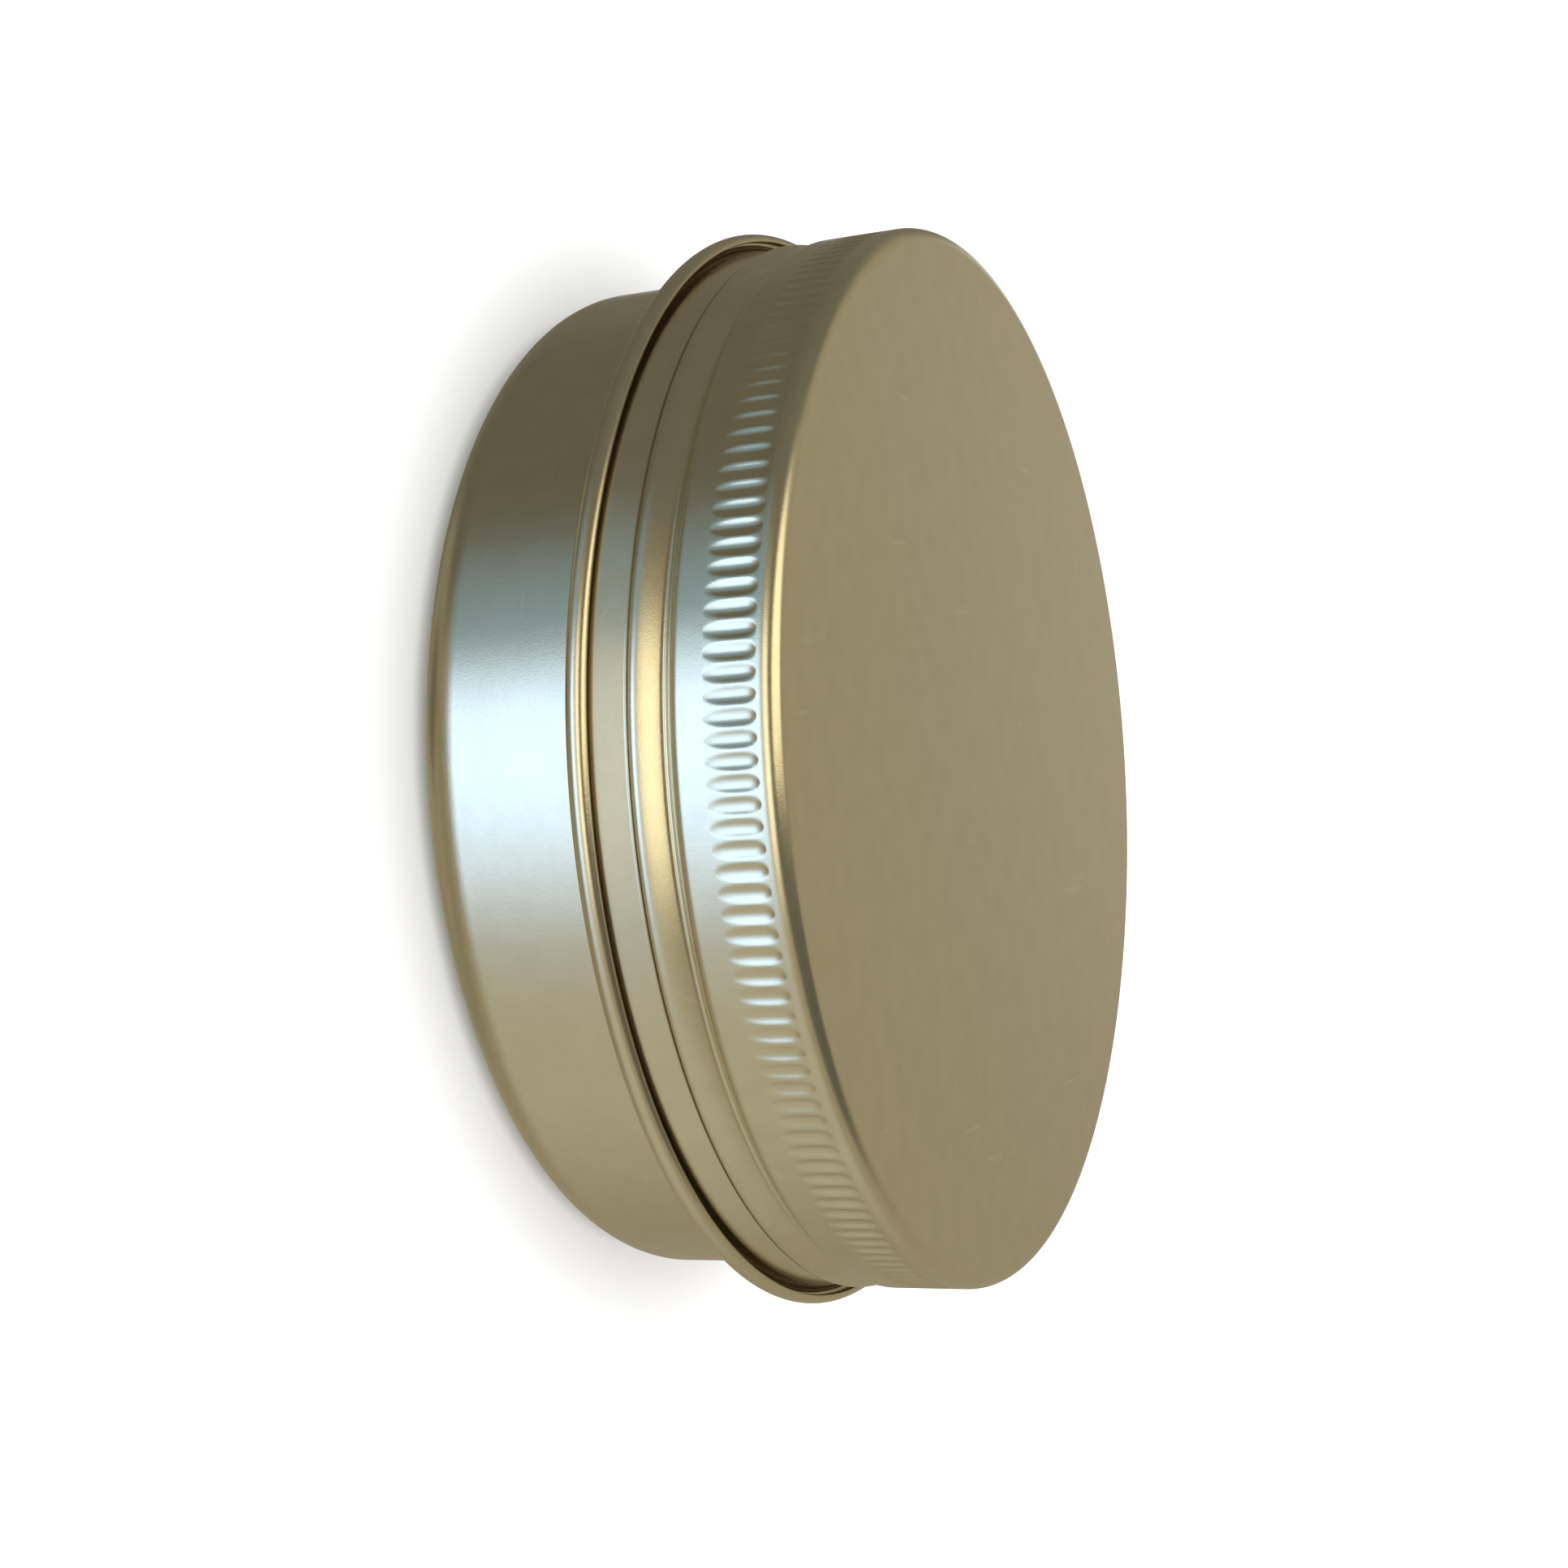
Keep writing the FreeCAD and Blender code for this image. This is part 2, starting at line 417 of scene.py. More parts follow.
def thread_tree(name: str, sizes: dict[str, float], wave: Wave) -> SheetTree:
    """A tree that rolls a right-hand screw thread into a wall.

    Args:
        name: Name of the tree.
        sizes: Lead, Start, Turns, Width, Inner Rise, Outer Rise, Wall Low Radius and
            Wall Mid Radius. The rises are those of the sheet's two sides.
        wave: Whether the thread stands outwards or inwards.

    Returns:
        The tree, ready to apply.
    """
    flank_foot, flank_crest = 1.0, 0.25
    run_length = 0.09
    tree = SheetTree(name, sizes)
    board = tree.board
    turn = board.turn_share(tree.x, tree.y)
    above_start = board.maths("SUBTRACT", tree.z, tree.size("Start"))
    climb = board.maths("DIVIDE", above_start, tree.size("Lead"))
    gap = board.maths("SUBTRACT", climb, turn)
    whole = board.maths("ROUND", gap)
    along = board.maths("ADD", turn, whole)
    off = board.maths("MULTIPLY", board.maths("SUBTRACT", gap, whole), tree.size("Lead"))
    off = board.maths("DIVIDE", off, board.maths("DIVIDE", tree.size("Width"), 2.0))
    bead = board.fade(board.maths("ABSOLUTE", off), flank_foot, flank_crest)
    run_in = board.fade(along, 0.0, run_length)
    left = board.maths("SUBTRACT", tree.size("Turns"), along)
    run_out = board.fade(left, 0.0, run_length)
    bead = board.maths("MULTIPLY", bead, board.maths("MULTIPLY", run_in, run_out))
    wall = board.maths("GREATER_THAN", tree.radius, tree.size("Wall Low Radius"))
    outside = board.maths("GREATER_THAN", tree.radius, tree.size("Wall Mid Radius"))
    change = board.maths("SUBTRACT", tree.size("Outer Rise"), tree.size("Inner Rise"))
    rise = board.maths("ADD", tree.size("Inner Rise"), board.maths("MULTIPLY", change, outside))
    push = board.maths("MULTIPLY", board.maths("MULTIPLY", bead, wall), rise)
    tree.press(board.maths("MULTIPLY", push, wave.value))
    return tree


def knurl_tree(name: str, sizes: dict[str, float]) -> SheetTree:
    """A tree that presses a ring of upright flutes into a band.

    Each flute is a round trough with a narrow lower end and a blunt upper end.

    Args:
        name: Name of the tree.
        sizes: Count, Low, High, Width Share, Depth and Wall Mid Radius.

    Returns:
        The tree, ready to apply.
    """
    widest, lower_power, upper_power = 0.6, 2.4, 3.4
    tree = SheetTree(name, sizes)
    board = tree.board
    turn = board.maths("MULTIPLY", board.turn_share(tree.x, tree.y), tree.size("Count"))
    aside = board.maths("SUBTRACT", board.maths("FRACT", turn), 0.5)
    aside = board.maths("DIVIDE", aside, board.maths("DIVIDE", tree.size("Width Share"), 2.0))
    span = board.maths("SUBTRACT", tree.size("High"), tree.size("Low"))
    up = board.maths("DIVIDE", board.maths("SUBTRACT", tree.z, tree.size("Low")), span)
    below = board.maths("DIVIDE", board.maths("SUBTRACT", widest, up), widest)
    below = board.maths("POWER", board.maths("MAXIMUM", below, 0.0), lower_power)
    above = board.maths("DIVIDE", board.maths("SUBTRACT", up, widest), 1.0 - widest)
    above = board.maths("POWER", board.maths("MAXIMUM", above, 0.0), upper_power)
    spread = board.maths("MULTIPLY", aside, aside)
    spread = board.maths("ADD", spread, board.maths("ADD", below, above))
    dent = board.maths("SUBTRACT", 1.0, spread, clamp=True)
    outside = board.maths("GREATER_THAN", tree.radius, tree.size("Wall Mid Radius"))
    depth = board.maths("MULTIPLY", tree.size("Depth"), -1.0)
    tree.press(board.maths("MULTIPLY", board.maths("MULTIPLY", dent, outside), depth))
    return tree


# --------------------------------------------------------------------------------------
# Finishes


def satin_group() -> bpy.types.NodeTree:
    """The grain, mottling and fine scratches of satin-lacquered aluminium.

    Returns:
        A shader group that gives a height for the bump, a tone and a scratch mask.
    """
    line_sets = ((0.6, 90.0), (2.1, 60.0))
    lean, stretch, line_width = 0.4, 0.04, 0.012
    patch_low, patch_high = 0.6, 0.72
    group = bpy.data.node_groups.new("satin_grain", "ShaderNodeTree")
    face = group.interface
    face.new_socket("Position", in_out="INPUT", socket_type="NodeSocketVector")
    face.new_socket("Grain Scale", in_out="INPUT", socket_type="NodeSocketFloat")
    face.new_socket("Mottle Scale", in_out="INPUT", socket_type="NodeSocketFloat")
    face.new_socket("Scratch Amount", in_out="INPUT", socket_type="NodeSocketFloat")
    face.new_socket("Height", in_out="OUTPUT", socket_type="NodeSocketFloat")
    face.new_socket("Tone", in_out="OUTPUT", socket_type="NodeSocketFloat")
    face.new_socket("Scratches", in_out="OUTPUT", socket_type="NodeSocketFloat")
    board = Board(group)
    entry = board.node("NodeGroupInput")
    leave = board.node("NodeGroupOutput")
    grain = board.node("ShaderNodeTexNoise")
    grain.inputs["Detail"].default_value = 3.0
    grain.inputs["Roughness"].default_value = 0.65
    board.feed(grain.inputs["Vector"], entry.outputs["Position"])
    board.feed(grain.inputs["Scale"], entry.outputs["Grain Scale"])
    mottle = board.node("ShaderNodeTexNoise")
    mottle.inputs["Detail"].default_value = 4.0
    mottle.inputs["Roughness"].default_value = 0.6
    board.feed(mottle.inputs["Vector"], entry.outputs["Position"])
    board.feed(mottle.inputs["Scale"], entry.outputs["Mottle Scale"])
    scratches = None
    for tilt, scale in line_sets:
        turn = board.node("ShaderNodeMapping")
        board.feed(turn.inputs["Vector"], entry.outputs["Position"])
        turn.inputs["Rotation"].default_value = (tilt, lean, tilt)
        turn.inputs["Scale"].default_value = (1.0, stretch, 1.0)
        lines = board.node("ShaderNodeTexVoronoi", feature="DISTANCE_TO_EDGE")
        board.feed(lines.inputs["Vector"], turn.outputs[0])
        lines.inputs["Scale"].default_value = scale
        line = board.fade(lines.outputs[0], line_width, 0.0)
        patches = board.node("ShaderNodeTexNoise")
        board.feed(patches.inputs["Vector"], entry.outputs["Position"])
        patches.inputs["Scale"].default_value = scale * 2
        line = board.maths("MULTIPLY", line, board.fade(patches.outputs[0], patch_low, patch_high))
        scratches = line if scratches is None else board.maths("MAXIMUM", scratches, line)
    board.feed(leave.inputs["Height"], grain.outputs[0])
    board.feed(leave.inputs["Tone"], mottle.outputs[0])
    board.feed(
        leave.inputs["Scratches"],
        board.maths("MULTIPLY", scratches, entry.outputs["Scratch Amount"]),
    )
    return group


@dataclass(frozen=True)
class SeamShade:
    """The ring-shaped space between two radii and two heights in the rolled seam that gets a
    painted shade, in mm.
    """

    radii: Point
    heights: Point
    soft: float = 0.2
    # Painted shade: this dark colour stands in for the shade inside the crevice of the rolled rim.
    painted_shade: Colour = (0.27, 0.21, 0.13, 1.0)

    def share(self, board: Board, place: bpy.types.NodeSocket) -> bpy.types.NodeSocket:
        """A soft-edged share that is 1 inside the seam.

        Args:
            board: The board to lay the nodes on.
            place: The place on the piece, in object coordinates.

        Returns:
            The share, from 0 to 1.
        """
        x, y, z = board.split(place)
        across = board.maths("MULTIPLY", x, x)
        radius = board.maths("SQRT", board.maths("MULTIPLY_ADD", y, y, across))
        share: object = 1.0
        for value, (low, high) in ((radius, self.radii), (z, self.heights)):
            rise = board.fade(value, (low - self.soft) * MM, low * MM)
            fall = board.fade(value, (high + self.soft) * MM, high * MM)
            share = board.maths("MULTIPLY", share, board.maths("MULTIPLY", rise, fall))
        return share


@dataclass(frozen=True)
class SatinAluminium:
    """Pale gold satin aluminium with a fine grain, and a painted shade in the seam where one is
    given.
    """

    name: str
    seam: SeamShade | None = None
    light: Colour = (0.77, 0.69, 0.49, 1.0)
    dark: Colour = (0.745, 0.665, 0.47, 1.0)
    scratch: Colour = (0.90, 0.84, 0.68, 1.0)
    roughness_low: float = 0.19
    roughness_high: float = 0.27
    grain_scale: float = 5200.0
    mottle_scale: float = 420.0
    grain_height: float = 0.000006
    scratch_amount: float = 0.4
    tone_range: Point = (0.35, 0.65)

    def make(self, grain: bpy.types.NodeTree) -> bpy.types.Material:
        """Build the material.

        Args:
            grain: The shared satin grain group.

        Returns:
            The material, with its patterns in object coordinates.
        """
        material = bpy.data.materials.new(self.name)
        material.use_nodes = True
        board = Board(material.node_tree)
        shader = material.node_tree.nodes["Principled BSDF"]
        place = board.node("ShaderNodeTexCoord")
        satin = board.node("ShaderNodeGroup", node_tree=grain)
        board.feed(satin.inputs["Position"], place.outputs["Object"])
        satin.inputs["Grain Scale"].default_value = self.grain_scale
        satin.inputs["Mottle Scale"].default_value = self.mottle_scale
        satin.inputs["Scratch Amount"].default_value = self.scratch_amount
        tone = board.fade(satin.outputs["Tone"], *self.tone_range)
        colour = board.mix(tone, self.dark, self.light)
        colour = board.mix(satin.outputs["Scratches"], colour, self.scratch)
        # Painted shade: the seam mask darkens the base colour where the rolled rim's crevice lies
        # in shade.
        if self.seam:
            share = self.seam.share(board, place.outputs["Object"])
            colour = board.mix(share, colour, self.seam.painted_shade)
        board.feed(shader.inputs["Base Color"], colour)
        shader.inputs["Metallic"].default_value = 1.0
        spread = self.roughness_high - self.roughness_low
        rough = board.maths("MULTIPLY", satin.outputs["Height"], spread)
        rough = board.maths("ADD", rough, self.roughness_low)
        board.feed(shader.inputs["Roughness"], rough)
        bump = board.node("ShaderNodeBump")
        bump.inputs["Strength"].default_value = 1.0
        bump.inputs["Distance"].default_value = self.grain_height
        board.feed(bump.inputs["Height"], satin.outputs["Height"])
        board.feed(shader.inputs["Normal"], bump.outputs[0])
        return material


@dataclass(frozen=True)
class FoamSkin:
    """Matt white closed-cell foam."""

    name: str
    light: Colour = (0.86, 0.86, 0.84, 1.0)
    dark: Colour = (0.70, 0.70, 0.68, 1.0)
    cell_scale: float = 2600.0
    cell_height: float = 0.00003
    cell_edge: Point = (0.75, 0.1)
    roughness: float = 0.85

    def make(self) -> bpy.types.Material:
        """Build the material.

        Returns:
            The material, with its cells in object coordinates.
        """
        material = bpy.data.materials.new(self.name)
        material.use_nodes = True
        board = Board(material.node_tree)
        shader = material.node_tree.nodes["Principled BSDF"]
        place = board.node("ShaderNodeTexCoord")
        cells = board.node("ShaderNodeTexVoronoi")
        board.feed(cells.inputs["Vector"], place.outputs["Object"])
        cells.inputs["Scale"].default_value = self.cell_scale
        tone = board.fade(cells.outputs["Distance"], *self.cell_edge)
        board.feed(shader.inputs["Base Color"], board.mix(tone, self.light, self.dark))
        shader.inputs["Roughness"].default_value = self.roughness
        bump = board.node("ShaderNodeBump")
        bump.inputs["Distance"].default_value = self.cell_height
        board.feed(bump.inputs["Height"], cells.outputs["Distance"])
        board.feed(shader.inputs["Normal"], bump.outputs[0])
        return material


# --------------------------------------------------------------------------------------
# Pieces


def place_piece(name: str, mesh: bpy.types.Mesh) -> bpy.types.Object:
    """Put a mesh into the scene as a piece at the origin."""
    piece = bpy.data.objects.new(name, mesh)
    bpy.context.scene.collection.objects.link(piece)
    return piece


def hand_over(piece: bpy.types.Object, node: Node, rider: Rider) -> None:
    """Tell the frame which node a piece stands for and which body carries it.

    Args:
        piece: The finished piece.
        node: The CAD node it replaces.
        rider: The body it moves with.
    """
    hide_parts(node.value)
    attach(piece, rider.value)
    triangles = sum(len(face.vertices) - 2 for face in piece.data.polygons)
    log.info("%s: %d triangles, rides on %s", piece.name, triangles, rider.value)


@dataclass
class Thread:
    """Sizes of the screw thread that the body and the lid share, in millimetres."""

    lead: float = 2.4
    body_start: float = 19.4
    body_turns: float = 1.25
    lid_turns: float = 0.75
    width: float = 1.3
    body_rise: float = 0.62
    lid_rise: float = 0.58

    @property
    def lid_start(self) -> float:
        """Height at which the lid's thread starts, half a lead below the body's."""
        return self.body_start - self.lead / 2


@dataclass
class TinBody:
    """The drawn body: recessed floor, rounded corner, wall, thread and rolled mouth."""

    finish: SatinAluminium
    grain: bpy.types.NodeTree
    thread: Thread
    gauge: float = 0.4
    wall_radius: float = 38.4
    corner: float = 3.6
    recess_radius: float = 31.0
    recess_rise: float = 0.6
    recess_slope: float = 0.8
    recess_bend: float = 0.5
    mouth_roll: float = 0.75
    mouth_end: float = 265.0
    thread_low: float = 18.2
    thread_high: float = 23.6
    thread_step: float = 0.1

    def section(self) -> Section:
        """Draw the half section, from the floor's middle inside round to its underside."""
        gauge, wall, corner = self.gauge, self.wall_radius, self.corner
        inner = wall - gauge
        foot = wall - corner
        rise = self.recess_rise
        slope_end = self.recess_radius + self.recess_slope
        roll_middle = (wall - self.mouth_roll, node_high(Node.BODY) - self.mouth_roll)
        core = self.mouth_roll - gauge
        line = Section()
        line.add((0.0, rise + gauge))
        line.go((self.recess_radius / 2, rise + gauge))
        line.corner((self.recess_radius, rise + gauge), (slope_end, gauge), self.recess_bend)
        line.corner((slope_end, gauge), (foot, gauge), self.recess_bend)
        line.go((foot, gauge))
        line.bend((foot, corner), corner - gauge, -90.0, 0.0, 12)
        line.go((inner, self.thread_low))
        line.go((inner, self.thread_high), self.thread_step)
        line.go((inner, roll_middle[1]))
        line.bend(roll_middle, core, 0.0, self.mouth_end, 16)
        line.bend(roll_middle, self.mouth_roll, self.mouth_end, 0.0, 22)
        line.go((wall, self.thread_high))
        line.go((wall, self.thread_low), self.thread_step)
        line.go((wall, corner))
        line.bend((foot, corner), corner, 0.0, -90.0, 14)
        line.corner((slope_end, 0.0), (self.recess_radius, rise), self.recess_bend)
        line.corner((self.recess_radius, rise), (0.0, rise), self.recess_bend)
        line.go((self.recess_radius / 2, rise))
        line.add((0.0, rise))
        return line

    def build(self) -> bpy.types.Object:
        """Make the body, roll its thread and hand it to the frame."""
        material = self.finish.make(self.grain)
        piece = place_piece("drawn_body", turned_mesh("drawn_body", self.section()))
        sizes = {
            "Lead": self.thread.lead * MM,
            "Start": self.thread.body_start * MM,
            "Turns": self.thread.body_turns,
            "Width": self.thread.width * MM,
            "Inner Rise": self.thread.body_rise * MM,
            "Outer Rise": self.thread.body_rise * MM,
            "Wall Low Radius": (self.wall_radius - 1.5 * self.gauge) * MM,
            "Wall Mid Radius": (self.wall_radius - self.gauge / 2) * MM,
        }
        thread_tree("body_thread", sizes, Wave.OUTWARD).apply(piece, material)
        hand_over(piece, Node.BODY, Rider.TIN)
        return piece


@dataclass
class ScrewLid:
    """The lid: flat top, knurled band, two necks with a bead between, plain band, rim.

    The bead is an arc about its crest, a long slow slope above it and a quick turn into the
    upper neck. Sizes are in millimetres and degrees.
    """

    finish: SatinAluminium
    grain: bpy.types.NodeTree
    thread: Thread
    gauge: float = 0.4
    wall_radius: float = 40.2
    edge: float = 1.25
    knurl_low: float = 22.9
    knurl_high: float = 26.65
    knurl_count: int = 180
    knurl_width: float = 0.86
    knurl_depth: float = 0.15
    knurl_rows: int = 14
    step_height: float = 21.18
    step_radius: float = 1.1
    step_angle: float = -70.0
    upper_neck: Point = (39.4, 20.0)
    slope_radius: float = 7.0
    slope_angle: float = 29.0
    crest_radius: float = 1.0
    crest_angle: float = 45.0
    bead_height: float = 17.98
    bead_radius: float = 0.85
    bead_top_angle: float = 17.0
    bead_low_angle: float = -74.0
    lower_neck: Point = (39.56, 17.12)
    neck_bend: float = 0.2
    foot_radius: float = 39.9
    inner_radius: float = 39.15
    inner_low: float = 17.3
    inner_high: float = 20.4
    inner_slope: float = 0.8
    inner_bend: float = 0.4
    thread_step: float = 0.15
    thread_reach: float = 1.0
    top_step: float = 6.0
    rim_roll: float = 0.8
    rim_end: float = 76.0

    @property
    def rim_middle(self) -> Point:
        """Middle of the rolled rim."""
        return node_radius(Node.LID) - self.rim_roll, node_low(Node.LID) + self.rim_roll

    def outside(self, line: Section) -> None:
        """Draw the outer wall from the top's edge down to the rim.

        Args:
            line: The section so far, which ends at the top of the wall.
        """
        wall = self.wall_radius
        for row in range(self.knurl_rows + 1):
            share = (1 - math.cos(math.pi * row / self.knurl_rows)) / 2
            height = self.knurl_high + (self.knurl_low - self.knurl_high) * share
            line.add((wall, height), Grade.KNURLED)
        line.go((wall, self.step_height))
        step_middle = (wall - self.step_radius, self.step_height)
        line.bend(step_middle, self.step_radius, 0.0, self.step_angle, 12)
        bead_middle = (wall - self.bead_radius, self.bead_height)
        longer = self.bead_radius - self.slope_radius
        slope_middle = on_arc(bead_middle, longer, self.bead_top_angle)
        longer = self.slope_radius - self.crest_radius
        crest_middle = on_arc(slope_middle, longer, self.slope_angle)
        crest_start = on_arc(crest_middle, self.crest_radius, self.crest_angle)
        line.corner(self.upper_neck, crest_start, self.neck_bend)
        line.bend(crest_middle, self.crest_radius, self.crest_angle, self.slope_angle, 5)
        line.bend(slope_middle, self.slope_radius, self.slope_angle, self.bead_top_angle, 8)
        line.bend(bead_middle, self.bead_radius, self.bead_top_angle, self.bead_low_angle, 12)
        line.corner(self.lower_neck, (self.foot_radius, self.rim_middle[1]), self.neck_bend)

    def section(self) -> Section:
        """Draw the half section, from the top's middle down the outside and back inside."""
        gauge, wall = self.gauge, self.wall_radius
        inner = wall - gauge
        foot = self.foot_radius - gauge
        top = node_high(Node.LID)
        edge_middle = (wall - self.edge, top - self.edge)
        rim_middle, core = self.rim_middle, self.rim_roll - gauge
        rim_start = rim_middle[0] - self.rim_roll
        line = Section()
        line.add((0.0, top))
        line.go((edge_middle[0], top), self.top_step)
        line.bend(edge_middle, self.edge, 90.0, 0.0, 12)
        self.outside(line)
        line.go((rim_start + gauge, rim_middle[1]))
        line.bend(rim_middle, core, -180.0, self.rim_end, 20)
        line.bend(rim_middle, self.rim_roll, self.rim_end, -180.0, 30)
        line.go((foot, rim_middle[1] + gauge))
        groove_low = (self.inner_radius, self.inner_low)
        groove_high = (self.inner_radius, self.inner_high)
        line.corner(groove_low, groove_high, self.inner_bend)
        wall_start = (inner, self.inner_high + self.inner_slope)
        line.corner(groove_high, wall_start, self.inner_bend, self.thread_step)
        line.corner(wall_start, (inner, edge_middle[1]), self.inner_bend)
        line.go((inner, edge_middle[1]))
        line.bend(edge_middle, self.edge - gauge, 0.0, 90.0, 8)
        line.go((edge_middle[0] / 2, top - gauge))
        line.add((0.0, top - gauge))
        return line

    def build(self) -> bpy.types.Object:
        """Make the lid, press its knurl and thread, and hand it to the frame."""
        material = self.finish.make(self.grain)
        mesh = turned_mesh("knurled_lid", self.section(), self.knurl_count)
        piece = place_piece("knurled_lid", mesh)
        knurl_sizes = {
            "Count": float(self.knurl_count),
            "Low": self.knurl_low * MM,
            "High": self.knurl_high * MM,
            "Width Share": self.knurl_width,
            "Depth": self.knurl_depth * MM,
            "Wall Mid Radius": (self.wall_radius - self.gauge / 2) * MM,
        }
        knurl_tree("lid_knurl", knurl_sizes).apply(piece, material)
        thread_sizes = {
            "Lead": self.thread.lead * MM,
            "Start": self.thread.lid_start * MM,
            "Turns": self.thread.lid_turns,
            "Width": self.thread.width * MM,
            "Inner Rise": self.thread.lid_rise * MM,
            "Outer Rise": 0.0,
            "Wall Low Radius": (self.inner_radius - self.thread_reach) * MM,
            "Wall Mid Radius": (self.inner_radius + self.gauge / 4) * MM,
        }
        thread_tree("lid_thread", thread_sizes, Wave.INWARD).apply(piece, material)
        hand_over(piece, Node.LID, Rider.LID)
        return piece


@dataclass
class FoamLiner:
    """The foam disc inside the lid, with a ring pressed in by the tin's mouth."""

    finish: FoamSkin
    bevel: float = 1.0
    dent_radius: float = 37.65
    dent_half: float = 1.1
    dent_depth: float = 0.12
    skin_bend: float = 0.15

    def section(self) -> Section:
        """Draw the half section, from the upper side's middle round to the under side."""
        out, under, top = node_radius(Node.LINER), node_low(Node.LINER), node_high(Node.LINER)
        bend = self.skin_bend
        dent_out, dent_in = self.dent_radius + self.dent_half, self.dent_radius - self.dent_half
        pressed = under + self.dent_depth
        line = Section()
        line.add((0.0, top))
        line.go((out / 2, top))
        line.corner((out - self.bevel, top), (out, top - self.bevel), bend)
        line.corner((out, top - self.bevel), (out, under), bend / 2)
        line.corner((out, under), (dent_out, under), bend / 2)
        line.corner((dent_out, under), (self.dent_radius, pressed), bend)
        line.corner((self.dent_radius, pressed), (dent_in, under), 4 * bend)
        line.corner((dent_in, under), (0.0, under), bend)
        line.go((dent_in / 2, under))
        line.add((0.0, under))
        return line

    def build(self) -> bpy.types.Object:
        """Make the liner and hand it to the frame."""
        mesh = turned_mesh("sealing_disc", self.section())
        mesh.materials.append(self.finish.make())
        piece = place_piece("sealing_disc", mesh)
        hand_over(piece, Node.LINER, Rider.LINER)
        return piece


# --------------------------------------------------------------------------------------
# Studio


@dataclass(frozen=True)
class Glow:
    """A soft bright or dark patch of the surroundings, by compass and height angles.

    Angles are in degrees. The compass angle is 0 straight in front, on the camera's side,
    and grows towards +X. The height angle is 0 level with the tin and 90 overhead.
    """

    name: str
    compass: tuple[float, float]
    height: tuple[float, float]
    side_soft: tuple[float, float]
    height_soft: float
    colour: Colour


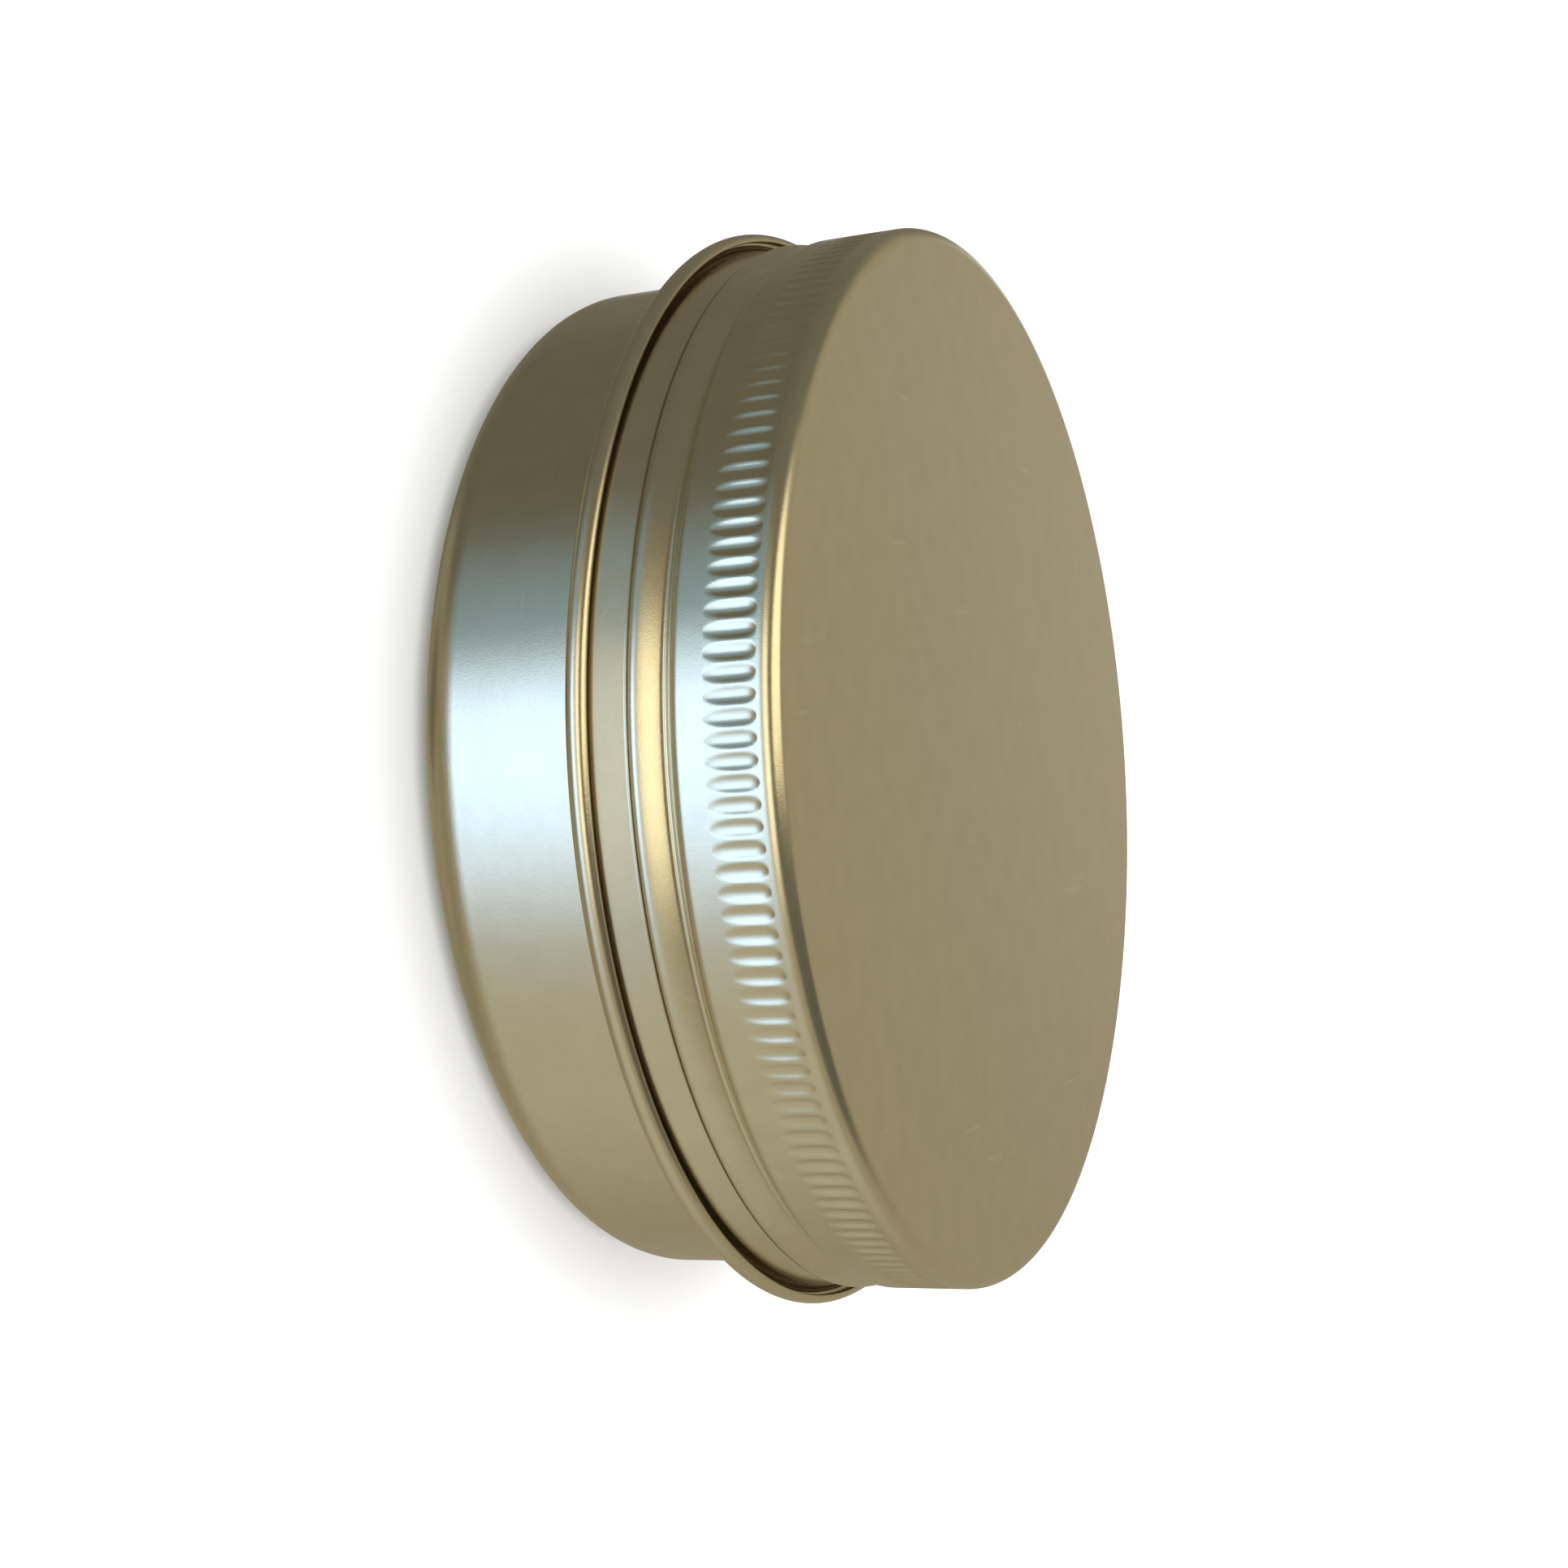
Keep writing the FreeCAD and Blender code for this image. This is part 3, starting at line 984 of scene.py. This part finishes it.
@dataclass
class Studio:
    """Pale floor, soft surroundings and one large soft light overhead, in metres.

    The metal reflects the room's shade with the glows laid over it in order. Everything
    else is lit by the plain open shade.
    """

    room: Colour = (0.345, 0.312, 0.228, 1.0)
    open_shade: Colour = (1.45, 1.45, 1.45, 1.0)
    floor_colour: Colour = (0.93, 0.93, 0.93, 1.0)
    floor_half: float = 2.0
    floor_gap: float = 0.00002
    softbox_height: float = 0.8
    softbox_size: float = 1.2
    softbox_power: float = 2.5
    back_seam: float = 140.0
    glows: tuple[Glow, ...] = (
        Glow(
            "wall on the left",
            (-140.0, -46.0), (-90.0, 60.0), (30.0, 26.0), 16.0,
            (0.145, 0.14, 0.11, 1.0),
        ),
        Glow(
            "far left corner",
            (-168.0, -128.0), (-90.0, 6.0), (12.0, 30.0), 20.0,
            (0.17, 0.16, 0.125, 1.0),
        ),
        Glow(
            "warm wall on the right",
            (36.0, 100.0), (-40.0, 18.0), (40.0, 60.0), 24.0,
            (0.50, 0.49, 0.41, 1.0),
        ),
        Glow(
            "cool corner",
            (-52.0, -20.0), (-40.0, 4.0), (20.0, 16.0), 10.0,
            (0.24, 0.37, 0.50, 1.0),
        ),
        Glow(
            "curtain",
            (-26.0, 36.0), (-40.0, 6.0), (16.0, 50.0), 14.0,
            (0.66, 0.77, 0.92, 1.0),
        ),
        Glow(
            "window",
            (-25.0, 16.0), (-38.0, -10.0), (18.0, 44.0), 8.0,
            (1.24, 1.74, 2.70, 1.0),
        ),
        Glow(
            "window's upper light",
            (-30.0, 20.0), (9.0, 34.0), (16.0, 30.0), 8.0,
            (1.65, 1.55, 1.22, 1.0),
        ),
        Glow(
            "window's head",
            (-60.0, 34.0), (40.0, 56.0), (20.0, 14.0), 6.0,
            (0.14, 0.125, 0.09, 1.0),
        ),
        Glow(
            "ceiling",
            (-178.0, 2.0), (60.0, 100.0), (10.0, 10.0), 8.0,
            (1.60, 1.48, 1.08, 1.0),
        ),
        Glow(
            "dark screen",
            (6.0, 174.0), (44.0, 100.0), (10.0, 10.0), 10.0,
            (0.10, 0.095, 0.075, 1.0),
        ),
        Glow(
            "skirting",
            (-170.0, 170.0), (-72.0, -58.0), (20.0, 20.0), 8.0,
            (0.28, 0.27, 0.20, 1.0),
        ),
        Glow(
            "light behind",
            (174.0, 198.0), (-34.0, 8.0), (16.0, 12.0), 16.0,
            (1.1, 1.15, 1.15, 1.0),
        ),
    )

    def build_world(self) -> None:
        """Paint the surroundings that the metal reflects, and a plain shade for the rest."""
        world = bpy.data.worlds.new("studio")
        bpy.context.scene.world = world
        world.use_nodes = True
        board = Board(world.node_tree)
        background = world.node_tree.nodes["Background"]
        place = board.node("ShaderNodeTexCoord")
        x, y, z = board.split(place.outputs["Generated"])
        front = board.maths("MULTIPLY", y, -1.0)
        compass = board.maths("ARCTAN2", x, front)
        wrapped = board.maths("LESS_THAN", compass, math.radians(-self.back_seam))
        from_behind = board.maths("MULTIPLY_ADD", wrapped, 2 * math.pi, compass)
        height = board.maths("ARCSINE", z)
        colour: object = self.room
        for glow in self.glows:
            angle = from_behind if glow.compass[1] > 180.0 else compass
            aside = self.window(board, angle, glow.compass, glow.side_soft)
            soft = (glow.height_soft, glow.height_soft)
            above = self.window(board, height, glow.height, soft)
            colour = board.mix(board.maths("MULTIPLY", aside, above), colour, glow.colour)
        ray = board.node("ShaderNodeLightPath")
        plain = board.maths("SUBTRACT", 1.0, ray.outputs["Is Glossy Ray"])
        board.feed(background.inputs["Color"], board.mix(plain, colour, self.open_shade))

    @staticmethod
    def window(
        board: Board, angle: bpy.types.NodeSocket, limits: Point, soft: Point
    ) -> bpy.types.NodeSocket:
        """A soft-edged share that is 1 between two angles.

        Args:
            board: The board to lay the nodes on.
            angle: The angle, in radians.
            limits: The lower and the upper limit, in degrees.
            soft: Width of the lower and the upper soft edge, in degrees.

        Returns:
            The share, from 0 to 1.
        """
        low, high = (math.radians(value) for value in limits)
        low_half, high_half = (math.radians(value / 2) for value in soft)
        rise = board.fade(angle, low - low_half, low + low_half)
        fall = board.fade(angle, high + high_half, high - high_half)
        return board.maths("MULTIPLY", rise, fall)

    def build_floor(self) -> None:
        """Lay the plain pale floor at the height of the tin's foot."""
        half, level = self.floor_half, -self.floor_gap
        sides = ((-half, -half), (half, -half), (half, half), (-half, half))
        corners = [(x, y, level) for x, y in sides]
        mesh = bpy.data.meshes.new("floor")
        mesh.from_pydata(corners, [], [[0, 1, 2, 3]])
        material = bpy.data.materials.new("pale_floor")
        material.use_nodes = True
        shader = material.node_tree.nodes["Principled BSDF"]
        shader.inputs["Base Color"].default_value = self.floor_colour
        shader.inputs["Roughness"].default_value = 1.0
        shader.inputs["Specular IOR Level"].default_value = 0.0
        mesh.materials.append(material)
        floor = place_piece("floor", mesh)
        floor.visible_glossy = False

    def build_softbox(self) -> None:
        """Hang the large soft light overhead."""
        lamp = bpy.data.lights.new("softbox", "AREA")
        lamp.shape = "SQUARE"
        lamp.size = self.softbox_size
        lamp.energy = self.softbox_power
        holder = bpy.data.objects.new("softbox", lamp)
        holder.location = (0.0, 0.0, self.softbox_height)
        holder.visible_glossy = False
        bpy.context.scene.collection.objects.link(holder)

    def build(self) -> None:
        """Set up the surroundings, the floor and the light."""
        self.build_world()
        self.build_floor()
        self.build_softbox()
        bpy.context.scene.view_settings.view_transform = "Standard"


@dataclass
class ProductCamera:
    """The camera, turned on its side so that the lid faces right; metres and degrees."""

    distance: float = 0.2011
    elevation: float = 22.48
    pivot_height: float = 0.014
    aim: tuple[float, float, float] = (0.00115, 0.0, 0.0110)
    roll: float = -86.36
    lens: float = 58.47
    sensor: float = 36.0
    near: float = 0.01

    def build(self) -> None:
        """Place the camera and make it the scene's own."""
        lens = bpy.data.cameras.new("product_camera")
        lens.lens = self.lens
        lens.sensor_width = self.sensor
        lens.clip_start = self.near
        camera = bpy.data.objects.new("product_camera", lens)
        angle = math.radians(self.elevation)
        back, up = self.distance * math.cos(angle), self.distance * math.sin(angle)
        spot = Vector((0.0, -back, self.pivot_height + up))
        look = (Vector(self.aim) - spot).normalized()
        side = look.cross(Vector((0.0, 0.0, 1.0))).normalized()
        level = side.cross(look)
        turn = math.radians(self.roll)
        top = level * math.cos(turn) + side * math.sin(turn)
        right = look.cross(top)
        frame_axes = Matrix((right, top, -look)).transposed()
        camera.matrix_world = Matrix.Translation(spot) @ frame_axes.to_4x4()
        bpy.context.scene.collection.objects.link(camera)
        bpy.context.scene.camera = camera


def main() -> None:
    """Build every piece in order, then the studio and the camera."""
    thread = Thread()
    grain = satin_group()
    TinBody(SatinAluminium("body_satin"), grain, thread).build()
    # Painted shade laid into the crevice between the rolled rim and the lid's wall.
    rolled_seam_shade = SeamShade(radii=(39.85, 40.6), heights=(14.0, 14.95))
    ScrewLid(SatinAluminium("lid_satin", rolled_seam_shade), grain, thread).build()
    FoamLiner(FoamSkin("liner_foam_skin")).build()
    Studio().build()
    ProductCamera().build()


if __name__ == "__main__":
    main()
